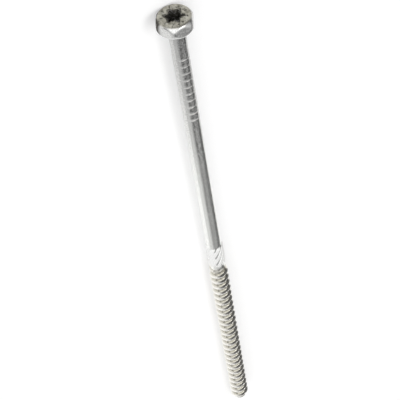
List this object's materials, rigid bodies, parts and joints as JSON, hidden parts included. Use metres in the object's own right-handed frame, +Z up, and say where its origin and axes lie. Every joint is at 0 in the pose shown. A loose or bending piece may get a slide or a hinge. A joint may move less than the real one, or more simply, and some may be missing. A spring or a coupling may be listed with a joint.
{
  "type": "construction screw",
  "caption": "Long partially threaded timber screw with a hexagon head, six-lobe socket, plain shank, shank cutter and coarse right-hand thread with a blunt end.",
  "frame": {"origin": "middle of the underside of the bounding box, on the surface the screw lies on", "axes": "+X runs from the head to the threaded end, +Z up; the screw lies on one flat of its head and on its last thread crest"},
  "size_m": [0.241, 0.0144, 0.013],
  "materials": {
    "zinc_steel": "zinc coated steel, dull sheen with rubbed streaks"
  },
  "bodies": {
    "root": {"screw": "zinc_steel"}
  },
  "joints": []
}
